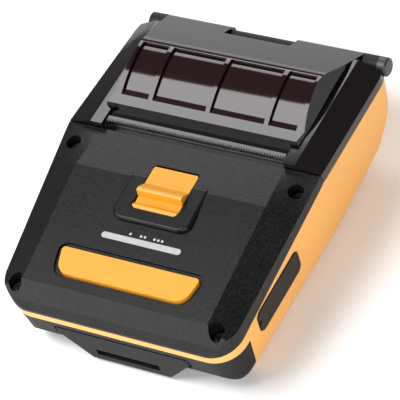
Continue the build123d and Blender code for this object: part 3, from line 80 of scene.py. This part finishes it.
class Paint:
    """A material in the making: its node tree and its one Principled shader."""

    def __init__(self, name):
        self.material = bpy.data.materials.new(name)
        self.material.use_nodes = True
        self.tree = self.material.node_tree
        self.shader = self.tree.nodes["Principled BSDF"]
        self.place = self.node("TexCoord", {}, {}, "Object")

    def node(self, kind, settings, sockets, output=0):
        """Any other node: its type, its settings, the values or wires of its sockets, and which of
        its outputs comes back as a wire."""
        made = self.tree.nodes.new("ShaderNode" + kind)
        for key, value in settings.items():
            setattr(made, key, value)
        self.feed(made, sockets)
        return Wire(self, made.outputs[output])

    def feed(self, made, sockets):
        """Sets each socket to its value, or links the wire that feeds it."""
        for key, value in sockets.items():
            if isinstance(value, Wire):
                self.tree.links.new(value.socket, made.inputs[key])
            else:
                made.inputs[key].default_value = value

    def look(self, **sockets):
        """Feeds the Principled shader; its socket names are written with underscores."""
        self.feed(self.shader, {key.replace("_", " "): value for key, value in sockets.items()})
        return self

    def noise(self, scale, detail=3.0):
        """Even noise in the object's own coordinates, with features about one over scale metres wide."""
        return self.node("TexNoise", {}, {"Vector": self.place, "Scale": scale, "Detail": detail,
                                          "Roughness": 0.5})

    def bump(self, height, distance):
        """A Bump node: height runs from 0 to 1 and stands for distance in metres."""
        return self.node("Bump", {}, {"Height": height, "Distance": distance, "Strength": 1.0})

    def mix(self, factor, first, second):
        """A colour that runs from first to second as factor goes from 0 to 1. A Mix node's colours
        are its sockets 6 and 7, and its output 2."""
        return self.node("Mix", {"data_type": "RGBA"}, {"Factor": factor, 6: first, 7: second}, 2)

    def wear(self, *nodes):
        """Puts the material on CAD nodes or on new pieces."""
        for node in nodes:
            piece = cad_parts[node] if isinstance(node, str) else node
            piece.data.materials.clear()
            piece.data.materials.append(self.material)


def moulded(name, low, high, rough, grain, depth):
    """Moulded plastic or rubber. Its colour drifts from low to high in broad clouds and fine specks.
    The tool's grain, one over grain metres wide and depth metres deep, spreads the gloss about rough."""
    cloud_scale, cloud_weight = 60.0, 0.5
    speck_grains, speck_weight = 2.2, 2.5
    gloss_spread = 0.12
    paint = Paint(name)
    clouds = paint.noise(cloud_scale)
    specks = paint.noise(grain / speck_grains, detail=2.0)
    spark = paint.noise(grain, detail=2.0)
    drift = cloud_weight * clouds + speck_weight * specks - (cloud_weight + speck_weight - 1) / 2
    return paint.look(Base_Color=paint.mix(drift, (*low, 1), (*high, 1)),
                      Roughness=rough - gloss_spread / 2 + gloss_spread * spark,
                      Normal=paint.bump(spark, depth))


case_black = moulded("case_black", low=(0.004, 0.0042, 0.0044), high=(0.012, 0.0122, 0.0125),
                     rough=0.52, grain=2100.0, depth=0.00006)
case_black.look(Specular_IOR_Level=0.22)
case_black.wear("lower_case")

# Rubber feet: four soft discs, die-cut from black sheet and stuck in the round
# recesses of the lower case's floor.
foot_rubber = moulded("foot_rubber", low=(0.02, 0.02, 0.02), high=(0.035, 0.034, 0.033),
                      rough=0.8, grain=900.0, depth=0.00008)
foot_rubber.wear("rubber_feet")

# Side shell: the coloured band round the body, moulded in satin orange ABS
# and clipped over the lower case.
shell_orange = moulded("shell_orange", low=(0.94, 0.45, 0.10), high=(0.97, 0.48, 0.12),
                       rough=0.46, grain=2200.0, depth=0.00002)
shell_orange.wear("side_shell")

# Boards, sockets and contacts: two green boards, a drawn steel charging socket, and the
# power jack, push switches and sprung contact block for the pack, all in black nylon.


def metal(name, colour, smoothest, spread, scale, metallic=1.0):
    """Bare or plated metal: patches one over scale metres wide are up to spread rougher than smoothest."""
    paint = Paint(name)
    return paint.look(Base_Color=(*colour, 1), Metallic=metallic,
                      Roughness=smoothest + spread * paint.noise(scale))


board_green = moulded("board_green", low=(0.01, 0.09, 0.04), high=(0.02, 0.13, 0.06),
                      rough=0.3, grain=500.0, depth=0.00002)
board_green.wear("control_board", "key_board")
socket_steel = metal("socket_steel", colour=(0.6, 0.6, 0.6), smoothest=0.2, spread=0.15, scale=400.0)
socket_steel.wear("usb_socket")
black_nylon = moulded("black_nylon", low=(0.015, 0.015, 0.016), high=(0.03, 0.03, 0.03),
                      rough=0.55, grain=1500.0, depth=0.00003)
black_nylon.wear("power_jack", "battery_contacts", "push_switches")

# Socket flap: a plug of soft black rubber over the sockets, moulded in one piece
# with the strap at its rear end, on which it bends open.
flap_rubber = moulded("flap_rubber", low=(0.010, 0.009, 0.008), high=(0.022, 0.020, 0.017),
                      rough=0.62, grain=1800.0, depth=0.00004)
flap_rubber.look(Specular_IOR_Level=0.3)
flap_rubber.wear("socket_flap")

# Print frame: stamped, zinc-plated steel plates that carry head, hooks, idler and motor,
# with the shafts, springs and pins that go with them.
zinc = metal("zinc_plate", colour=(0.62, 0.63, 0.63), smoothest=0.25, spread=0.2, scale=350.0)
zinc.wear("print_frame", "cover_frame", "cover_hooks", "idler_axle", "latch_shaft", "feed_motor",
          "hinge_pin", "platen_shaft", "printhead_springs", "latch_spring", "battery_detents")

# Drive gears: moulded in white acetal, as the platen's bushes are, with a brass
# pinion pressed on the motor's shaft.
acetal = moulded("acetal", low=(0.75, 0.74, 0.69), high=(0.8, 0.79, 0.75),
                 rough=0.4, grain=800.0, depth=0.00002)
acetal.wear("idler_gear", "platen_gear", "platen_bushes", "guide_pinion")
brass = metal("brass", colour=(0.75, 0.5, 0.2), smoothest=0.25, spread=0.15, scale=600.0)
brass.wear("motor_pinion")

# Print head: a milled aluminium bar with a glazed ceramic plate bonded to it.
# The plate's row of heaters marks the paper.
head_metal = metal("head_metal", colour=(0.65, 0.65, 0.66), smoothest=0.3, spread=0.2, scale=300.0)
head_metal.wear("printhead_bar")
ceramic = moulded("ceramic", low=(0.72, 0.72, 0.7), high=(0.78, 0.78, 0.76),
                  rough=0.2, grain=300.0, depth=0.00001)
ceramic.wear("printhead_ceramic")

# Label bay: a black moulded tray with two roll guides on racks, which a pinion couples,
# and a sensor that finds the gap between labels.
bay_black = moulded("bay_black", low=(0.012, 0.012, 0.013), high=(0.02, 0.02, 0.02),
                    rough=0.5, grain=1200.0, depth=0.00003)
bay_black.wear("media_bucket", "media_guide_left", "media_guide_right", "media_sensor")

# Battery pack: a case and lid in the lower case's own black grain, with two flat
# foil-wrapped cells inside. It slides in at the nose.
case_black.wear("battery_case", "battery_lid")
foil = metal("cell_foil", colour=(0.6, 0.6, 0.62), smoothest=0.3, spread=0.2, scale=200.0)
foil.wear("battery_cells")

# Top case: black ABS with a grain like the lower case's, screwed down at four corners.
# Six small grey status dots are printed on it in three groups, behind the light bar.
top_black = moulded("top_black", low=(0.001, 0.0011, 0.0012), high=(0.010, 0.0102, 0.0105),
                    rough=0.30, grain=2100.0, depth=0.00007)
top_black.look(Specular_IOR_Level=0.24)
mark_places = (-0.0062, -0.0012, 0.0006, 0.0050, 0.0068, 0.0086)
mark_y = -0.038
mark_z = 0.04196
mark_radius = 0.00055
mark_grey = (0.5, 0.5, 0.5, 1)


def status_mark(x):
    """One inside a printed dot centred at x, nought elsewhere. A distance is Vector Math's output 1."""
    reach = top_black.node("VectorMath", {"operation": "DISTANCE"},
                           {0: top_black.place, 1: (x, mark_y, mark_z)}, 1)
    return top_black.node("Math", {"operation": "LESS_THAN"}, {0: reach, 1: mark_radius})


marks = sum(status_mark(x) for x in mark_places)
plain_top = Wire(top_black, top_black.shader.inputs["Base Color"].links[0].from_socket)
top_black.look(Base_Color=top_black.mix(marks, plain_top, mark_grey))
top_black.wear("top_case")

# Case screws: four blackened steel pan heads, sunk in the top case's corners
# and driven into the lower case's bosses.
screw_black = metal("screw_black", colour=(0.05, 0.05, 0.052), smoothest=0.3, spread=0.2, scale=900.0,
                    metallic=0.9)
screw_black.wear("case_screws")

# Feed button and latch lever: both moulded in satin yellow-orange ABS. The button presses
# straight down, and the lever turns on a shaft under the top case.
key_orange = moulded("key_orange", low=(0.70, 0.285, 0.008), high=(0.76, 0.325, 0.014),
                     rough=0.46, grain=2400.0, depth=0.00002)
key_orange.wear("feed_button", "latch_lever")

# Light bar: a strip of milky acrylic that stands on the key board and shows
# the status lights through the top case.
milky = moulded("milky_acrylic", low=(0.40, 0.415, 0.43), high=(0.46, 0.475, 0.49),
                rough=0.25, grain=900.0, depth=0.00001)
milky.wear("light_bar")

# Paper cover: one moulding of smoked, polished polycarbonate on the rear hinge. The panes of its dome
# carry painted light, a faint red glow that stands in for the lit roll bay seen through them, and all of
# it ripples slightly.
smoked = Paint("smoked").look(Roughness=0.07, Specular_IOR_Level=0.42)
wall_smoke = (0.004, 0.002, 0.0025, 1)
# The panes' colour is painted light: the red of the lit roll bay seen through the thin panes.
pane_painted_glow = (0.011, 0.0025, 0.0035, 1)
pane_half = 0.041
pane_front_y = 0.024
pane_rear_y = 0.051
pane_low_z = 0.045
pane_fade = 0.004
ripple_scale = 120.0
ripple_depth = 0.00001


def rises(value, start, width):
    """Nought before start, one after start plus width, and a smooth step between."""
    return smoked.node("MapRange", {"interpolation_type": "SMOOTHSTEP"},
                       {"Value": value, "From Min": start, "From Max": start + width})


axes = smoked.node("SeparateXYZ", {}, {0: smoked.place}).socket.node.outputs
across = smoked.node("Math", {"operation": "ABSOLUTE"}, {0: Wire(smoked, axes["X"])})
within_sides = 1.0 - rises(across, pane_half, pane_fade)
behind_front = rises(Wire(smoked, axes["Y"]), pane_front_y - pane_fade, pane_fade)
before_rear = 1.0 - rises(Wire(smoked, axes["Y"]), pane_rear_y, pane_fade)
above_walls = rises(Wire(smoked, axes["Z"]), pane_low_z, pane_fade / 4)
# Where the painted glow of the lit roll bay lies: inside the dome's panes, between the ribs' walls.
panes = within_sides * behind_front * before_rear * above_walls
smoked.look(Base_Color=smoked.mix(panes, wall_smoke, pane_painted_glow),
            Normal=smoked.bump(smoked.noise(ripple_scale), ripple_depth))
smoked.wear("cover_shell")

# Tear bar: a strip of blackened steel along the cover's lip, with a row of teeth
# stamped into its front edge so that a label tears off cleanly.
tooth_pitch = 0.0012
tooth_depth = 0.0022


def new_piece(name, points, faces):
    """A mesh object at the origin, from an array of points and one of faces."""
    mesh = bpy.data.meshes.new(name)
    mesh.from_pydata(points.tolist(), [], faces.tolist())
    piece = bpy.data.objects.new(name, mesh)
    bpy.context.scene.collection.objects.link(piece)
    return piece


def toothed_strip(name, low, high):
    """A flat strip along X: a rectangle carried from end to end, whose front edge lies tooth_depth
    further back at every second station, half a tooth_pitch apart."""
    count = 2 * round((high[0] - low[0]) / tooth_pitch)
    x = np.linspace(low[0], high[0], count + 1)
    front = low[1] + tooth_depth * (np.arange(count + 1) % 2)
    rear = np.full_like(x, high[1])
    bottom = np.full_like(x, low[2])
    top = np.full_like(x, high[2])
    rings = np.stack([(x, front, bottom), (x, rear, bottom), (x, rear, top), (x, front, top)])
    side = np.arange(4)
    ahead = (side + 1) % 4
    start = 4 * np.arange(count)[:, None]
    quads = np.stack([start + ahead, start + 4 + ahead, start + 4 + side, start + side], 2)
    caps = np.stack([side[::-1], 4 * count + side])
    return new_piece(name, rings.transpose(2, 0, 1).reshape(-1, 3),
                     np.concatenate([quads.reshape(-1, 4), caps]))


blade = toothed_strip("tear_blade", *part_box("tear_bar"))
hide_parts("tear_bar")
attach(blade, "cover")
tear_steel = metal("tear_steel", colour=(0.17, 0.17, 0.18), smoothest=0.22, spread=0.2, scale=900.0)
tear_steel.wear(blade)

# Hinge cap and platen: a moulded cap on the pin's right end, and a soft rubber sleeve on
# the platen's shaft, ground round after it is cured.
cap_black = moulded("cap_black", low=(0.02, 0.023, 0.02), high=(0.035, 0.04, 0.036),
                    rough=0.4, grain=2000.0, depth=0.00003)
cap_black.wear("hinge_cap")
platen_grey = moulded("platen_rubber", low=(0.03, 0.03, 0.03), high=(0.045, 0.045, 0.045),
                      rough=0.6, grain=900.0, depth=0.00003)
platen_grey.wear("platen_rubber")

# Table and studio: a pale sheet under the printer, a dim white surround, and five
# soft boxes that the camera doesn't see.
sheet_half = 6.0


def flat_sheet(name, half):
    """A flat square at Z 0: each corner lies half metres from the origin along X and along Y."""
    return new_piece(name, half * np.array([(-1, -1, 0), (1, -1, 0), (1, 1, 0), (-1, 1, 0)]),
                     np.arange(4)[None])


def soft_box(name, place, aim, width, height, power):
    """A rectangular lamp at place, facing aim."""
    lamp = bpy.data.lights.new(name, "AREA")
    lamp.shape = "RECTANGLE"
    lamp.size = width
    lamp.size_y = height
    lamp.energy = power
    holder = bpy.data.objects.new(name, lamp)
    bpy.context.scene.collection.objects.link(holder)
    holder.location = place
    holder.visible_camera = False
    holder.rotation_mode = "QUATERNION"
    holder.rotation_quaternion = (Vector(aim) - Vector(place)).to_track_quat("-Z", "Y")


table = flat_sheet("table_sheet", sheet_half)
Paint("pale_sheet").look(Base_Color=(0.97, 0.97, 0.97, 1), Roughness=0.9).wear(table)

world = bpy.data.worlds.new("studio")
bpy.context.scene.world = world
world.use_nodes = True
surround = world.node_tree.nodes["Background"]
surround.inputs["Color"].default_value = (1, 1, 1, 1)
surround.inputs["Strength"].default_value = 0.24

soft_box("overhead_box", place=(-0.50, -0.27, 1.0), aim=(0, 0, 0.03), width=0.70, height=0.70, power=13.0)
soft_box("rear_box", place=(-0.60, 0.88, 0.70), aim=(0, 0, 0.03), width=0.6, height=0.5, power=5.0)
soft_box("low_rear_box", place=(-0.80, 1.15, 0.17), aim=(0, 0.06, 0.04), width=0.7, height=0.3, power=1.2)
soft_box("front_box", place=(0.75, -0.85, 0.55), aim=(0, 0, 0.02), width=0.9, height=0.9, power=10.0)
soft_box("nose_box", place=(-0.60, -1.10, 0.30), aim=(0, 0, 0.03), width=0.6, height=0.4, power=3.5)

# Camera: the photograph's own point of view, a long lens high over the right front, rolled
# so that the printer lies aslant. The two offsets move the printer in the picture.
azimuth = math.radians(45.288)
elevation = math.radians(48.125)
roll = math.radians(23.953)
distance = 1.1419
target = Vector((0, -0.003, 0.0315))
offset_right = -0.004191
offset_up = 0.005753
focal_pixels = 2818.85
picture_pixels = 400
back = Vector((math.sin(azimuth) * math.cos(elevation), -math.cos(azimuth) * math.cos(elevation),
               math.sin(elevation)))
right = Vector((math.cos(azimuth), math.sin(azimuth), 0))
up = back.cross(right)
turned_right = right * math.cos(roll) - up * math.sin(roll)
turned_up = up * math.cos(roll) + right * math.sin(roll)
turn = Matrix((turned_right, turned_up, back)).transposed().to_4x4()
lens = bpy.data.cameras.new("photo_view")
lens.sensor_width = 36.0
lens.lens = focal_pixels / picture_pixels * lens.sensor_width
lens.clip_end = 20.0
camera = bpy.data.objects.new("photo_view", lens)
bpy.context.scene.collection.objects.link(camera)
camera.matrix_world = Matrix.Translation(target + back * distance - turned_right * offset_right
                                         - turned_up * offset_up) @ turn
bpy.context.scene.camera = camera
bpy.context.scene.view_settings.view_transform = "Standard"
